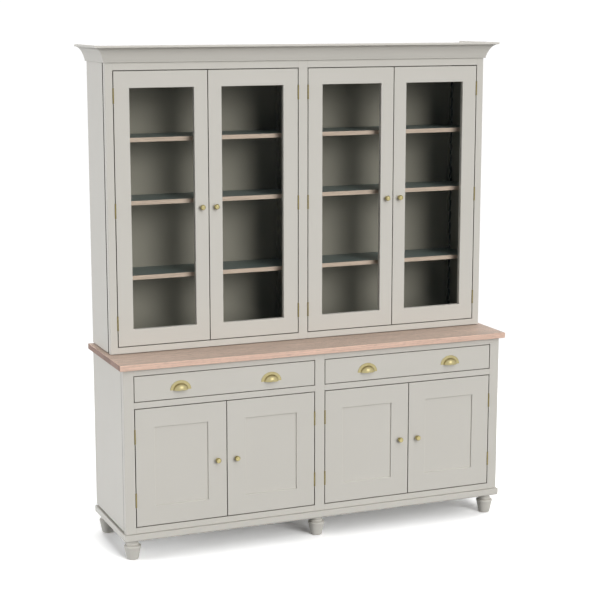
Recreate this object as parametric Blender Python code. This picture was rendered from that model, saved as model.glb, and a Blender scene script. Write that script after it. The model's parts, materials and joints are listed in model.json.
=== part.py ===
"""Kitchen dresser: a glazed rack standing on a base with two drawers and two cupboards.

Metres, +Z up, front towards -Y, left towards -X. The origin is at the bottom centre of the
closed dresser. Every door and drawer hangs on an empty that lies on its hinge or slide axis.
"""

import math

import bmesh
import bpy
from mathutils import Matrix, Vector

# Clearances and joints between pieces
CONTACT = 0.0003          # air between two pieces that touch
DOOR_GAP = 0.0025         # shadow gap round every door and drawer front
OVERRUN = 0.005           # a cutter runs this far past the faces it cuts
SINK = 0.001              # a strip that is glued on enters its board this far

# Carcass boards
SIDE_THICKNESS = 0.020
BOARD_THICKNESS = 0.018
BACK_THICKNESS = 0.009

# Turned feet
FOOT_HEIGHT = 0.089
FOOT_RADIUS = 0.0366
FOOT_INSET = 0.039        # foot axis to the outer faces of the base
FOOT_SEGMENTS = 20
# Radius and height of each turn, as shares of the foot's radius and height
FOOT_PROFILE_SHARES = (
    (0.62, 0.0), (0.71, 0.045), (0.80, 0.25), (0.95, 0.62), (1.0, 0.68), (0.88, 0.72),
    (0.72, 0.735), (0.78, 0.78), (0.76, 0.83), (0.62, 0.88), (0.60, 1.0))

# Plinth
PLINTH_FACE_HEIGHT = 0.024
PLINTH_MOULD = 0.009      # radius of the rounded lower edge
PLINTH_PROUD = 0.008
PLINTH_MOULD_STEPS = 4

# Base cabinet
BASE_WIDTH = 1.830
BASE_DEPTH = 0.476
BASE_FRAME_THICKNESS = 0.030
BASE_STILE = 0.047
BASE_CENTRE_STILE = 0.048
BASE_BOTTOM_RAIL = 0.029
CUPBOARD_OPENING = 0.531
BASE_MIDDLE_RAIL = 0.0285
DRAWER_OPENING = 0.116
BASE_TOP_RAIL = 0.030

# Worktop
WORKTOP_THICKNESS = 0.026
WORKTOP_FRONT_OVERHANG = 0.024
WORKTOP_SIDE_OVERHANG = 0.019
WORKTOP_BACK_OVERHANG = 0.012
WORKTOP_ARRIS = 0.0015

# Rack
RACK_SIDE_INSET = 0.004   # the rack stands this far inside the base at either end
RACK_DEPTH = 0.292
RACK_FRAME_THICKNESS = 0.030
RACK_STILE = 0.0335
RACK_CENTRE_STILE = 0.045
RACK_BOTTOM_RAIL = 0.032
RACK_OPENING = 1.202
RACK_TOP_RAIL = 0.033
RACK_QUIRK = 0.003        # shadow groove between face frame and side

# Cornice
CORNICE_HEIGHT = 0.0725
CORNICE_PROUD = 0.0535
CORNICE_THICKNESS = 0.0235
CORNICE_LAP = 0.028       # the carcass rises this far inside the cornice
CORNICE_BEAD_HEIGHT = 0.009
CORNICE_BEAD_PROUD = 0.008
CORNICE_CHAMFER = 0.002
CORNICE_FILLET = 0.011
CORNICE_COVE_STEPS = 8

# Shelves and their supports
SHELF_THICKNESS = 0.0195
SHELF_SETBACK = 0.057     # face of the rack to the front edge of a shelf
SHELF_SIDE_CLEARANCE = 0.001
SHELF_TEETH = (5, 11, 16)  # the tooth that carries each shelf, counted from the floor
TOOTH_PITCH = 0.055
TOOTH_START = 0.030       # rack floor to the shelf level of tooth 0
TOOTH_DEPTH = 0.009
TOOTH_SLOPE_SHARE = 0.6
STRIP_WIDTH = 0.026
STRIP_THICKNESS = 0.010
CLEAT_HEIGHT = 0.018
CLEAT_THICKNESS = 0.009

# Doors
DOOR_THICKNESS = 0.022
RACK_HINGE_STILE = 0.070
RACK_MEETING_STILE = 0.0625
RACK_DOOR_RAIL = 0.073
BASE_DOOR_MEMBER = 0.087
PANEL_GROOVE = 0.008      # a pane or panel enters its frame this far
GLASS_THICKNESS = 0.004
GLASS_RECESS = 0.009
PANEL_THICKNESS = 0.009
PANEL_RECESS = 0.009

# Butt hinges: the knuckle stands in the gap, the leaves are let in flush
HINGE_RADIUS = 0.0035
HINGE_HEIGHT = 0.065
HINGE_PROUD = 0.001       # pin axis in front of the door's face
HINGE_CLEARANCE = 0.0005
HINGE_SEGMENTS = 12
RACK_HINGE_SET = 0.104    # end of the door to the middle of its end hinge
BASE_HINGE_SET = 0.120
RACK_HINGE_COUNT = 3
BASE_HINGE_COUNT = 2

# Knobs
KNOB_RADIUS = 0.012
KNOB_PROJECTION = 0.025
KNOB_SEGMENTS = 16
# Radius and height of each turn, as shares of the knob's radius and projection
KNOB_PROFILE_SHARES = (
    (0.70, 0.0), (0.70, 0.07), (0.42, 0.13), (0.38, 0.30), (0.66, 0.38), (0.93, 0.50),
    (1.0, 0.65), (0.92, 0.81), (0.66, 0.94), (0.25, 1.0))

# Drawers
DRAWER_FRONT_THICKNESS = 0.020
DRAWER_SIDE_THICKNESS = 0.012
DRAWER_BOTTOM_THICKNESS = 0.006
DRAWER_BOTTOM_LIFT = 0.010
DRAWER_SIDE_HEIGHT = 0.092
DRAWER_SIDE_CLEARANCE = 0.0015
DRAWER_BACK_ROOM = 0.045
RUNNER_HEIGHT = 0.020
RUNNER_BEARING = 0.014    # the runner reaches this far under the drawer's side

# Cup pulls
CUP_WIDTH = 0.096
CUP_HEIGHT = 0.0415
CUP_FLANGE_THICKNESS = 0.002
CUP_BOWL_HEIGHT = 0.029
CUP_BOWL_DEPTH = 0.023
CUP_WALL = 0.0018
CUP_LIP_NOTCH = 0.0006    # half width of the smallest ring of the bowl
CUP_DROP = 0.018          # middle of the drawer front down to the pull's lower edge
CUP_ARC_STEPS = 14
CUP_BOWL_STEPS = 6

# Finishes: linear colour, roughness, metallic, alpha
FINISHES = {
    "paint": ((0.56, 0.54, 0.49), 0.45, 0.0, 1.0),
    "interior": ((0.33, 0.32, 0.27), 0.6, 0.0, 1.0),
    "oak": ((0.62, 0.46, 0.37), 0.5, 0.0, 1.0),
    "drawer_wood": ((0.55, 0.42, 0.28), 0.6, 0.0, 1.0),
    "brass": ((0.60, 0.50, 0.22), 0.3, 1.0, 1.0),
    "glass": ((0.90, 0.93, 0.92), 0.05, 0.0, 0.3),
}
SMOOTH_ANGLE = math.radians(40)

# Places from front to back
FRONT_REACH = max(KNOB_PROJECTION, WORKTOP_FRONT_OVERHANG, CUP_BOWL_DEPTH)
TOTAL_DEPTH = FRONT_REACH + BASE_DEPTH + WORKTOP_BACK_OVERHANG
BASE_FRONT = FRONT_REACH - TOTAL_DEPTH / 2
BASE_BACK = BASE_FRONT + BASE_DEPTH
WORKTOP_BACK = BASE_BACK + WORKTOP_BACK_OVERHANG
RACK_FRONT = WORKTOP_BACK - RACK_DEPTH
RACK_BACK = WORKTOP_BACK

# Levels from the floor up
PLINTH_TOP = FOOT_HEIGHT + PLINTH_MOULD + PLINTH_FACE_HEIGHT
CUPBOARD_FLOOR = PLINTH_TOP + BASE_BOTTOM_RAIL
CUPBOARD_CEILING = CUPBOARD_FLOOR + CUPBOARD_OPENING
DRAWER_FLOOR = CUPBOARD_CEILING + BASE_MIDDLE_RAIL
DRAWER_CEILING = DRAWER_FLOOR + DRAWER_OPENING
WORKTOP_UNDERSIDE = DRAWER_CEILING + BASE_TOP_RAIL
WORKTOP_TOP = WORKTOP_UNDERSIDE + WORKTOP_THICKNESS
RACK_FLOOR = WORKTOP_TOP + RACK_BOTTOM_RAIL
RACK_CEILING = RACK_FLOOR + RACK_OPENING
CORNICE_BOTTOM = RACK_CEILING + RACK_TOP_RAIL
CARCASS_TOP = CORNICE_BOTTOM + CORNICE_LAP
RACK_TOP_UNDERSIDE = CARCASS_TOP - BOARD_THICKNESS

# Half widths and the inner faces of the carcasses
BASE_HALF = BASE_WIDTH / 2
RACK_HALF = BASE_HALF - RACK_SIDE_INSET
BASE_INSIDE = BASE_HALF - SIDE_THICKNESS
RACK_INSIDE = RACK_HALF - SIDE_THICKNESS
PARTITION_HALF = BOARD_THICKNESS / 2
BASE_BOARDS_FRONT = BASE_FRONT + BASE_FRAME_THICKNESS + CONTACT
BASE_BOARDS_BACK = BASE_BACK - BACK_THICKNESS - CONTACT
RACK_BOARDS_FRONT = RACK_FRONT + RACK_FRAME_THICKNESS + CONTACT
RACK_BOARDS_BACK = RACK_BACK - BACK_THICKNESS - CONTACT

BAYS = (("left", -1), ("right", 1))


def clear_scene():
    """Remove every object that the open file holds."""
    for thing in list(bpy.data.objects):
        bpy.data.objects.remove(thing)


def make_finishes():
    """Make one Principled material for each finish and return them by name."""
    materials = {}
    for name, (colour, roughness, metallic, alpha) in FINISHES.items():
        material = bpy.data.materials.new(name)
        material.use_nodes = True
        shader = material.node_tree.nodes["Principled BSDF"]
        shader.inputs["Base Color"].default_value = (*colour, 1.0)
        shader.inputs["Roughness"].default_value = roughness
        shader.inputs["Metallic"].default_value = metallic
        shader.inputs["Alpha"].default_value = alpha
        materials[name] = material
    return materials


def add_box(shape, low, high):
    """Add a box between two opposite corners."""
    low, high = Vector(low), Vector(high)
    place = Matrix.Translation((low + high) / 2) @ Matrix.Diagonal((*(high - low), 1.0))
    bmesh.ops.create_cube(shape, size=1.0, matrix=place)


def add_loft(shape, rings):
    """Join closed rings of points one after another and cap both ends."""
    loops = [[shape.verts.new(point) for point in ring] for ring in rings]
    for lower, upper in zip(loops, loops[1:]):
        for index, corner in enumerate(lower):
            following = (index + 1) % len(lower)
            shape.faces.new((corner, lower[following], upper[following], upper[index]))
    shape.faces.new(loops[0])
    shape.faces.new(loops[-1])


def circle(radius, segments):
    """Return points round a circle as pairs."""
    turn = 2 * math.pi / segments
    return [(radius * math.cos(turn * step), radius * math.sin(turn * step))
            for step in range(segments)]


def add_rod(shape, centre, radius, height, segments):
    """Add an upright cylinder round a centre point."""
    x, y, z = centre
    rings = [[(x + across, y + along, level) for across, along in circle(radius, segments)]
             for level in (z - height / 2, z + height / 2)]
    add_loft(shape, rings)


def new_mesh(name, shape):
    """Turn a bmesh into a mesh whose faces point outwards."""
    bmesh.ops.recalc_face_normals(shape, faces=shape.faces)
    mesh = bpy.data.meshes.new(name)
    shape.to_mesh(mesh)
    shape.free()
    return mesh


def place_shape(name, shape, pivot):
    """Make an object from world points, with its origin on its pivot or at its own middle."""
    if pivot:
        origin = pivot.location.copy()
    else:
        corners = [vertex.co for vertex in shape.verts]
        low = Vector([min(corner[axis] for corner in corners) for axis in range(3)])
        high = Vector([max(corner[axis] for corner in corners) for axis in range(3)])
        origin = (low + high) / 2
    bmesh.ops.translate(shape, vec=-origin, verts=shape.verts)
    thing = bpy.data.objects.new(name, new_mesh(name, shape))
    bpy.context.scene.collection.objects.link(thing)
    if pivot:
        thing.parent = pivot
    else:
        thing.location = origin
    return thing


def make_piece(name, shape, material, pivot=None):
    """Make a named piece of the dresser."""
    piece = place_shape(name, shape, pivot)
    piece.data.materials.append(material)
    return piece


def make_board(name, low, high, material, pivot=None):
    """Make a piece that starts as a plain board between two corners."""
    shape = bmesh.new()
    add_box(shape, low, high)
    return make_piece(name, shape, material, pivot)


def make_smooth(piece):
    """Shade a turned piece smooth, except at its sharp edges."""
    piece.data.shade_smooth()
    piece.data.set_sharp_from_angle(angle=SMOOTH_ANGLE)


def combine(piece, name, shape, operation, pivot=None):
    """Cut a helper shape out of a piece, or join it on."""
    helper = place_shape(name, shape, pivot)
    helper.hide_render = True
    helper.display_type = "WIRE"
    modifier = piece.modifiers.new(name, "BOOLEAN")
    modifier.operation = operation
    modifier.solver = "EXACT"
    modifier.object = helper


def make_pivot(name, place):
    """Make an empty on a hinge or slide axis."""
    pivot = bpy.data.objects.new(name, None)
    pivot.location = place
    bpy.context.scene.collection.objects.link(pivot)
    return pivot


def bay_opening(side, half_width, stile, centre_stile):
    """Return the left and right edge of a bay's opening in its face frame."""
    inner = side * centre_stile / 2
    outer = side * (half_width - stile)
    return min(inner, outer), max(inner, outer)


def door_spans(opening):
    """Return low and high X and hinge side of the two doors that share an opening."""
    low, high = opening
    width = (high - low - 3 * DOOR_GAP) / 2
    return ((low + DOOR_GAP, low + DOOR_GAP + width, -1),
            (high - DOOR_GAP - width, high - DOOR_GAP, 1))


def hinge_axis_x(span):
    """Return where the pin of a door's hinges lies: the middle of the gap at its hinge side."""
    low, high, hinge_side = span
    return low - DOOR_GAP / 2 if hinge_side < 0 else high + DOOR_GAP / 2


def hinge_levels(low, high, end_set, count):
    """Return the height of the middle of each hinge of a door."""
    first = low + DOOR_GAP + end_set
    last = high - DOOR_GAP - end_set
    return [first + (last - first) * step / (count - 1) for step in range(count)]


def hinge_shape(axes, front, levels, radius, height):
    """Return rods that stand for the knuckles on each pin axis."""
    shape = bmesh.new()
    for axis_x in axes:
        for level in levels:
            add_rod(shape, (axis_x, front - HINGE_PROUD, level), radius, height, HINGE_SEGMENTS)
    return shape


def make_face_frame(name, half_width, depth_span, level_span, windows, hinge_sets, material):
    """Make a glued-up face frame with its openings and the recesses for the hinge knuckles."""
    front, back = depth_span
    low, high = level_span
    frame = make_board(name, (-half_width, front, low), (half_width, back, high), material)
    cut = bmesh.new()
    for (left, right), (bottom, top) in windows:
        add_box(cut, (left, front - OVERRUN, bottom), (right, back + OVERRUN, top))
    combine(frame, name + "_openings", cut, "DIFFERENCE")
    axes, levels = hinge_sets
    notch = hinge_shape(axes, front, levels, HINGE_RADIUS + HINGE_CLEARANCE,
                        HINGE_HEIGHT + 2 * HINGE_CLEARANCE)
    combine(frame, name + "_hinge_recesses", notch, "DIFFERENCE")


def make_door(name, span, level_span, front, members, fill, levels, finishes):
    """Make a framed door with its knuckles, its pane or panel and its knob."""
    low_x, high_x, hinge_side = span
    low_z, high_z = level_span[0] + DOOR_GAP, level_span[1] - DOOR_GAP
    hinge_stile, meeting_stile, rail = members
    kind, finish, thickness, recess = fill
    back = front + DOOR_THICKNESS
    axis_x = hinge_axis_x(span)
    pivot = make_pivot(name + "_hinge", (axis_x, front - HINGE_PROUD, low_z))

    frame = make_board(name + "_frame", (low_x, front, low_z), (high_x, back, high_z),
                       finishes["paint"], pivot)
    left = low_x + (hinge_stile if hinge_side < 0 else meeting_stile)
    right = high_x - (hinge_stile if hinge_side > 0 else meeting_stile)
    bottom, top = low_z + rail, high_z - rail
    window = bmesh.new()
    add_box(window, (left, front - OVERRUN, bottom), (right, back + OVERRUN, top))
    combine(frame, name + "_window", window, "DIFFERENCE", pivot)
    fill_front = front + recess
    groove = bmesh.new()
    add_box(groove, (left - PANEL_GROOVE, fill_front - CONTACT, bottom - PANEL_GROOVE),
            (right + PANEL_GROOVE, fill_front + thickness + CONTACT, top + PANEL_GROOVE))
    combine(frame, name + "_groove", groove, "DIFFERENCE", pivot)
    knuckles = hinge_shape([axis_x], front, levels, HINGE_RADIUS, HINGE_HEIGHT)
    combine(frame, name + "_knuckles", knuckles, "UNION", pivot)

    hold = PANEL_GROOVE - CONTACT
    make_board(f"{name}_{kind}", (left - hold, fill_front, bottom - hold),
               (right + hold, fill_front + thickness, top + hold), finishes[finish], pivot)

    knob_x = high_x - meeting_stile / 2 if hinge_side < 0 else low_x + meeting_stile / 2
    make_knob(name + "_knob", (knob_x, front - CONTACT, (low_z + high_z) / 2),
              finishes["brass"], pivot)


def make_knob(name, seat, material, pivot):
    """Turn a round knob that points forwards from its seat."""
    x, y, z = seat
    reach = KNOB_PROJECTION - CONTACT
    rings = []
    for radius_share, reach_share in KNOB_PROFILE_SHARES:
        ring = circle(KNOB_RADIUS * radius_share, KNOB_SEGMENTS)
        rings.append([(x + across, y - reach * reach_share, z + up) for across, up in ring])
    shape = bmesh.new()
    add_loft(shape, rings)
    make_smooth(make_piece(name, shape, material, pivot))


def make_feet(finishes):
    """Turn the six feet and set them under the plinth."""
    inset_x = BASE_HALF - FOOT_INSET
    rows = (("front", BASE_FRONT + FOOT_INSET), ("back", BASE_BACK - FOOT_INSET))
    columns = (("left", -inset_x), ("middle", 0), ("right", inset_x))
    for row, y in rows:
        for column, x in columns:
            rings = []
            for radius_share, height_share in FOOT_PROFILE_SHARES:
                ring = circle(FOOT_RADIUS * radius_share, FOOT_SEGMENTS)
                level = FOOT_HEIGHT * height_share
                rings.append([(x + across, y + along, level) for across, along in ring])
            shape = bmesh.new()
            add_loft(shape, rings)
            make_smooth(make_piece(f"foot_{row}_{column}", shape, finishes["paint"]))


def slab_ring(half_width, front, back, level):
    """Return the four corners of a slab at one level."""
    return [(-half_width, front, level), (half_width, front, level),
            (half_width, back, level), (-half_width, back, level)]


def make_plinth(finishes):
    """Make the plinth platform: a flat edge over a rounded lower edge, on three sides."""
    bottom = FOOT_HEIGHT + CONTACT
    centre_level = FOOT_HEIGHT + PLINTH_MOULD
    rings = []
    for step in range(PLINTH_MOULD_STEPS + 1):
        angle = math.pi / 2 * (1 - step / PLINTH_MOULD_STEPS)
        proud = PLINTH_PROUD - PLINTH_MOULD * (1 - math.cos(angle))
        level = max(bottom, centre_level - PLINTH_MOULD * math.sin(angle))
        rings.append(slab_ring(BASE_HALF + proud, BASE_FRONT - proud, BASE_BACK, level))
    rings.append(slab_ring(BASE_HALF + PLINTH_PROUD, BASE_FRONT - PLINTH_PROUD, BASE_BACK,
                           PLINTH_TOP))
    shape = bmesh.new()
    add_loft(shape, rings)
    make_piece("base_plinth", shape, finishes["paint"])


def make_worktop(finishes):
    """Make the oak slab with its small arris."""
    half = BASE_HALF + WORKTOP_SIDE_OVERHANG
    front = BASE_FRONT - WORKTOP_FRONT_OVERHANG
    bottom = WORKTOP_UNDERSIDE + CONTACT
    levels = ((bottom, WORKTOP_ARRIS), (bottom + WORKTOP_ARRIS, 0),
              (WORKTOP_TOP - WORKTOP_ARRIS, 0), (WORKTOP_TOP, WORKTOP_ARRIS))
    rings = [slab_ring(half - inset, front + inset, WORKTOP_BACK - inset, level)
             for level, inset in levels]
    shape = bmesh.new()
    add_loft(shape, rings)
    make_piece("worktop", shape, finishes["oak"])


def runner_shape(wall, edge):
    """Return the runner and guide of one drawer side: wall carries it, edge is the opening's."""
    inward = 1 if edge > wall else -1
    bearing = edge + inward * (DRAWER_SIDE_CLEARANCE + RUNNER_BEARING)
    root = wall - inward * SINK
    guide_top = DRAWER_CEILING - BASE_MIDDLE_RAIL
    outline = [(root, DRAWER_FLOOR - RUNNER_HEIGHT), (bearing, DRAWER_FLOOR - RUNNER_HEIGHT),
               (bearing, DRAWER_FLOOR), (edge, DRAWER_FLOOR), (edge, guide_top),
               (root, guide_top)]
    shape = bmesh.new()
    ends = (BASE_BOARDS_FRONT + CONTACT, BASE_BOARDS_BACK - CONTACT)
    add_loft(shape, [[(x, y, z) for x, z in outline] for y in ends])
    return shape


def make_base_carcass(finishes):
    """Make the boards of the base behind its face frame."""
    paint, interior = finishes["paint"], finishes["interior"]
    openings = {label: bay_opening(side, BASE_HALF, BASE_STILE, BASE_CENTRE_STILE)
                for label, side in BAYS}
    bottom = PLINTH_TOP + CONTACT
    partition = make_board(
        "base_partition", (-PARTITION_HALF, BASE_BOARDS_FRONT, CUPBOARD_FLOOR + CONTACT),
        (PARTITION_HALF, BASE_BOARDS_BACK, WORKTOP_UNDERSIDE), interior)
    for label, side in BAYS:
        outer, inner = side * BASE_HALF, side * BASE_INSIDE
        panel = make_board(f"base_side_{label}", (min(outer, inner), BASE_BOARDS_FRONT, bottom),
                           (max(outer, inner), BASE_BACK, WORKTOP_UNDERSIDE), paint)
        low, high = openings[label]
        outer_edge, inner_edge = (low, high) if side < 0 else (high, low)
        combine(panel, f"drawer_runner_outer_{label}",
                runner_shape(inner, outer_edge), "UNION")
        combine(partition, f"drawer_runner_inner_{label}",
                runner_shape(side * PARTITION_HALF, inner_edge), "UNION")
    inside = BASE_INSIDE - CONTACT
    make_board("base_floor", (-inside, BASE_BOARDS_FRONT, CUPBOARD_FLOOR - BOARD_THICKNESS),
               (inside, BASE_BOARDS_BACK, CUPBOARD_FLOOR), interior)
    make_board("base_back", (-inside, BASE_BACK - BACK_THICKNESS, bottom),
               (inside, BASE_BACK, WORKTOP_UNDERSIDE), interior)


def make_base_front(finishes):
    """Make the base's face frame, doors and drawers."""
    windows, axes = [], []
    cupboard = (CUPBOARD_FLOOR, CUPBOARD_CEILING)
    drawer = (DRAWER_FLOOR, DRAWER_CEILING)
    levels = hinge_levels(*cupboard, BASE_HINGE_SET, BASE_HINGE_COUNT)
    members = (BASE_DOOR_MEMBER, BASE_DOOR_MEMBER, BASE_DOOR_MEMBER)
    fill = ("panel", "paint", PANEL_THICKNESS, PANEL_RECESS)
    for label, side in BAYS:
        opening = bay_opening(side, BASE_HALF, BASE_STILE, BASE_CENTRE_STILE)
        windows += [(opening, cupboard), (opening, drawer)]
        for span in door_spans(opening):
            axes.append(hinge_axis_x(span))
            place = "outer" if span[2] == side else "inner"
            make_door(f"base_door_{label}_{place}", span, cupboard, BASE_FRONT, members, fill,
                      levels, finishes)
        make_drawer(label, opening, finishes)
    make_face_frame("base_face_frame", BASE_HALF,
                    (BASE_FRONT, BASE_FRONT + BASE_FRAME_THICKNESS),
                    (PLINTH_TOP + CONTACT, WORKTOP_UNDERSIDE), windows, (axes, levels),
                    finishes["paint"])


def make_drawer(label, opening, finishes):
    """Make a drawer: its front, its box and its two cup pulls."""
    low, high = opening
    slide = make_pivot(f"drawer_{label}_slide", ((low + high) / 2, BASE_FRONT, DRAWER_FLOOR))
    front_back = BASE_FRONT + DRAWER_FRONT_THICKNESS
    bottom, top = DRAWER_FLOOR + DOOR_GAP, DRAWER_CEILING - DOOR_GAP
    make_board(f"drawer_{label}_front", (low + DOOR_GAP, BASE_FRONT, bottom),
               (high - DOOR_GAP, front_back, top), finishes["paint"], slide)

    box_low = low + DRAWER_SIDE_CLEARANCE
    box_high = high - DRAWER_SIDE_CLEARANCE
    box_front, box_back = front_back + CONTACT, BASE_BOARDS_BACK - DRAWER_BACK_ROOM
    box_bottom = DRAWER_FLOOR + CONTACT
    box_top = box_bottom + DRAWER_SIDE_HEIGHT
    wall = DRAWER_SIDE_THICKNESS
    tray = make_board(f"drawer_{label}_box", (box_low, box_front, box_bottom),
                      (box_high, box_back, box_top), finishes["drawer_wood"], slide)
    hollows = bmesh.new()
    floor_top = box_bottom + DRAWER_BOTTOM_LIFT + DRAWER_BOTTOM_THICKNESS
    inner_low = (box_low + wall, box_front + wall)
    inner_high = (box_high - wall, box_back - wall)
    add_box(hollows, (*inner_low, floor_top), (*inner_high, box_top + OVERRUN))
    add_box(hollows, (*inner_low, box_bottom - OVERRUN),
            (*inner_high, box_bottom + DRAWER_BOTTOM_LIFT))
    combine(tray, f"drawer_{label}_hollows", hollows, "DIFFERENCE", slide)

    quarter = (high - low) / 4
    level = (bottom + top) / 2 - CUP_DROP
    for place, x in (("left", low + quarter), ("right", high - quarter)):
        make_cup_pull(f"drawer_{label}_pull_{place}", (x, BASE_FRONT - CONTACT, level),
                      finishes["brass"], slide)


def cup_profile():
    """Return the pull's section as pairs of radius and forward reach, from the back edge."""
    depth = CUP_BOWL_DEPTH - CONTACT
    section = [(CUP_HEIGHT, 0), (CUP_HEIGHT, CUP_FLANGE_THICKNESS)]
    for step in range(CUP_BOWL_STEPS + 1):
        angle = math.pi / 2 * step / CUP_BOWL_STEPS
        radius = CUP_LIP_NOTCH + (CUP_BOWL_HEIGHT - CUP_LIP_NOTCH) * math.cos(angle)
        rise = (depth - CUP_FLANGE_THICKNESS) * math.sin(angle)
        section.append((radius, CUP_FLANGE_THICKNESS + rise))
    for step in range(CUP_BOWL_STEPS, -1, -1):
        angle = math.pi / 2 * step / CUP_BOWL_STEPS
        inner = CUP_BOWL_HEIGHT - CUP_WALL - CUP_LIP_NOTCH
        section.append((CUP_LIP_NOTCH + inner * math.cos(angle),
                        (depth - CUP_WALL) * math.sin(angle)))
    return section


def make_cup_pull(name, seat, material, pivot):
    """Sweep the pull's section round half an ellipse: a flange with a bowl open below."""
    x, y, z = seat
    spread = CUP_WIDTH / 2 / CUP_HEIGHT
    rings = []
    for step in range(CUP_ARC_STEPS + 1):
        angle = math.pi * step / CUP_ARC_STEPS
        rings.append([(x + spread * radius * math.cos(angle), y - reach,
                       z + radius * math.sin(angle)) for radius, reach in cup_profile()])
    shape = bmesh.new()
    add_loft(shape, rings)
    make_smooth(make_piece(name, shape, material, pivot))


def tooth_levels():
    """Return the ledge height of every tooth that fits between rack floor and top."""
    first = RACK_FLOOR + TOOTH_START - SHELF_THICKNESS - CLEAT_HEIGHT - 2 * CONTACT
    count = math.floor((RACK_TOP_UNDERSIDE - first) / TOOTH_PITCH)
    return [first + TOOTH_PITCH * number for number in range(1, count)]


def strip_outline(toothed, straight):
    """Return the side view of a toothed strip: depth of its toothed and its straight edge."""
    root = toothed + math.copysign(TOOTH_DEPTH, straight - toothed)
    low, high = RACK_FLOOR + 2 * CONTACT, RACK_TOP_UNDERSIDE - 2 * CONTACT
    outline = [(straight, low), (toothed, low)]
    for ledge in tooth_levels():
        outline += [(toothed, ledge), (root, ledge),
                    (toothed, ledge + TOOTH_PITCH * TOOTH_SLOPE_SHARE)]
    outline += [(toothed, high), (straight, high)]
    return outline


def strip_places():
    """Return toothed edge and straight edge of the front strip and of the back strip."""
    front = RACK_BOARDS_FRONT + CONTACT
    back = RACK_BOARDS_BACK - CONTACT
    return (front + STRIP_WIDTH, front), (back - STRIP_WIDTH, back)


def add_shelf_supports(piece, label, wall, inward):
    """Join toothed strips and shelf cleats to a side or partition face that looks inward."""
    strips = bmesh.new()
    faces = (wall - inward * SINK, wall + inward * STRIP_THICKNESS)
    for edges in strip_places():
        outline = strip_outline(*edges)
        add_loft(strips, [[(x, y, z) for y, z in outline] for x in faces])
    combine(piece, f"toothed_strips_{label}", strips, "UNION")
    (front_edge, _), (back_edge, _) = strip_places()
    reach = TOOTH_DEPTH + SINK
    low_x, high_x = sorted((wall - inward * SINK / 2, wall + inward * CLEAT_THICKNESS))
    cleats = bmesh.new()
    for tooth in SHELF_TEETH:
        top = shelf_top(tooth) - SHELF_THICKNESS - CONTACT
        add_box(cleats, (low_x, front_edge - reach, top - CLEAT_HEIGHT),
                (high_x, back_edge + reach, top))
    combine(piece, f"cleats_{label}", cleats, "UNION")


def shelf_top(tooth):
    """Return the height of the upper face of the shelf that a tooth carries."""
    return RACK_FLOOR + TOOTH_START + TOOTH_PITCH * tooth


def make_rack_carcass(finishes):
    """Make the boards of the rack behind its face frame."""
    paint, interior = finishes["paint"], finishes["interior"]
    bottom = WORKTOP_TOP + CONTACT
    partition = make_board(
        "rack_partition", (-PARTITION_HALF, RACK_BOARDS_FRONT, RACK_FLOOR + CONTACT),
        (PARTITION_HALF, RACK_BOARDS_BACK, RACK_TOP_UNDERSIDE - CONTACT), interior)
    for label, side in BAYS:
        outer, inner = side * RACK_HALF, side * RACK_INSIDE
        panel = make_board(f"rack_side_{label}", (min(outer, inner), RACK_BOARDS_FRONT, bottom),
                           (max(outer, inner), RACK_BACK, CARCASS_TOP), paint)
        quirk = bmesh.new()
        quirk_x = sorted((side * (RACK_HALF - RACK_QUIRK), side * (RACK_HALF + OVERRUN)))
        add_box(quirk, (quirk_x[0], RACK_BOARDS_FRONT - OVERRUN, bottom - OVERRUN),
                (quirk_x[1], RACK_BOARDS_FRONT + RACK_QUIRK, CARCASS_TOP + OVERRUN))
        combine(panel, f"quirk_{label}", quirk, "DIFFERENCE")
        add_shelf_supports(panel, f"outer_{label}", inner, -side)
        add_shelf_supports(partition, f"inner_{label}", side * PARTITION_HALF, side)
    inside = RACK_INSIDE - CONTACT
    make_board("rack_floor", (-inside, RACK_BOARDS_FRONT, RACK_FLOOR - BOARD_THICKNESS),
               (inside, RACK_BOARDS_BACK, RACK_FLOOR), interior)
    make_board("rack_top", (-inside, RACK_BOARDS_FRONT, RACK_TOP_UNDERSIDE),
               (inside, RACK_BOARDS_BACK, CARCASS_TOP), interior)
    make_board("rack_back", (-inside, RACK_BACK - BACK_THICKNESS, bottom),
               (inside, RACK_BACK, CARCASS_TOP), interior)


def make_shelves(finishes):
    """Make the shelves, notched at the back round the toothed strips."""
    front = RACK_FRONT + SHELF_SETBACK
    back = RACK_BOARDS_BACK
    notch_front = strip_places()[1][0] - CONTACT
    notch = STRIP_THICKNESS + CONTACT
    for label, side in BAYS:
        walls = sorted((side * PARTITION_HALF, side * RACK_INSIDE))
        left, right = walls[0] + SHELF_SIDE_CLEARANCE, walls[1] - SHELF_SIDE_CLEARANCE
        outline = [(left, front), (right, front), (right, notch_front),
                   (walls[1] - notch, notch_front), (walls[1] - notch, back),
                   (walls[0] + notch, back), (walls[0] + notch, notch_front),
                   (left, notch_front)]
        for tooth, level_name in zip(SHELF_TEETH, ("lower", "middle", "upper")):
            top = shelf_top(tooth)
            shape = bmesh.new()
            add_loft(shape, [[(x, y, level) for x, y in outline]
                             for level in (top - SHELF_THICKNESS, top)])
            make_piece(f"shelf_{label}_{level_name}", shape, finishes["oak"])


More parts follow.
